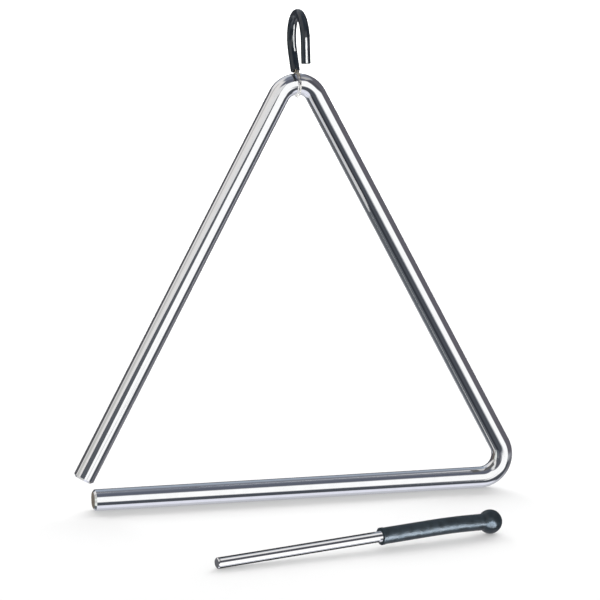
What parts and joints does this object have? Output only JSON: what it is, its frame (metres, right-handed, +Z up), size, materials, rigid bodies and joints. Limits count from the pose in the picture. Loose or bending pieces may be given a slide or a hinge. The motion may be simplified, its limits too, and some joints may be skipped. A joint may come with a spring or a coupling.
{
  "type": "triangle instrument",
  "caption": "Percussion triangle of bent plated round bar with an open corner, hung in a line loop from a sleeved wire hook, with a plated rod beater in a ball-ended rubber grip.",
  "frame": {"origin": "inside top of the hook, where it sits on a rail, finger or stand arm", "axes": "+X along the rail and along the triangle's base towards its closed lower corner, +Y away from the player, from the hook's open side to its stem, +Z up"},
  "size_m": [0.204, 0.1334, 0.2217],
  "materials": {
    "bar_plating": "bright chrome plate on solid steel bar",
    "sleeve_vinyl": "black vinyl tube, smooth and shiny",
    "core_steel": "bare drawn wire",
    "loop_nylon": "clear nylon line with a tan tint",
    "rod_plating": "bright chrome plate on a steel rod",
    "grip_rubber": "black moulded rubber, satin"
  },
  "bodies": {
    "hanger": {"hook_sleeve": "sleeve_vinyl", "hook_wire": "core_steel", "nylon_loop": "loop_nylon"},
    "triangle": {"triangle_bar": "bar_plating"},
    "beater": {"beater_rod": "rod_plating", "beater_grip": "grip_rubber"}
  },
  "joints": [
    {"name": "triangle_swing", "type": "hinge", "parent": "hanger", "child": "triangle", "pos_m": [0, 0.00215, -0.02936], "axis": [1, 0, 0], "range_deg": [-90, 90]},
    {"name": "beater_lift", "type": "slide", "parent": "hanger", "child": "beater", "axis": [0, 0, 1], "range_m": [0, 0.12]}
  ]
}
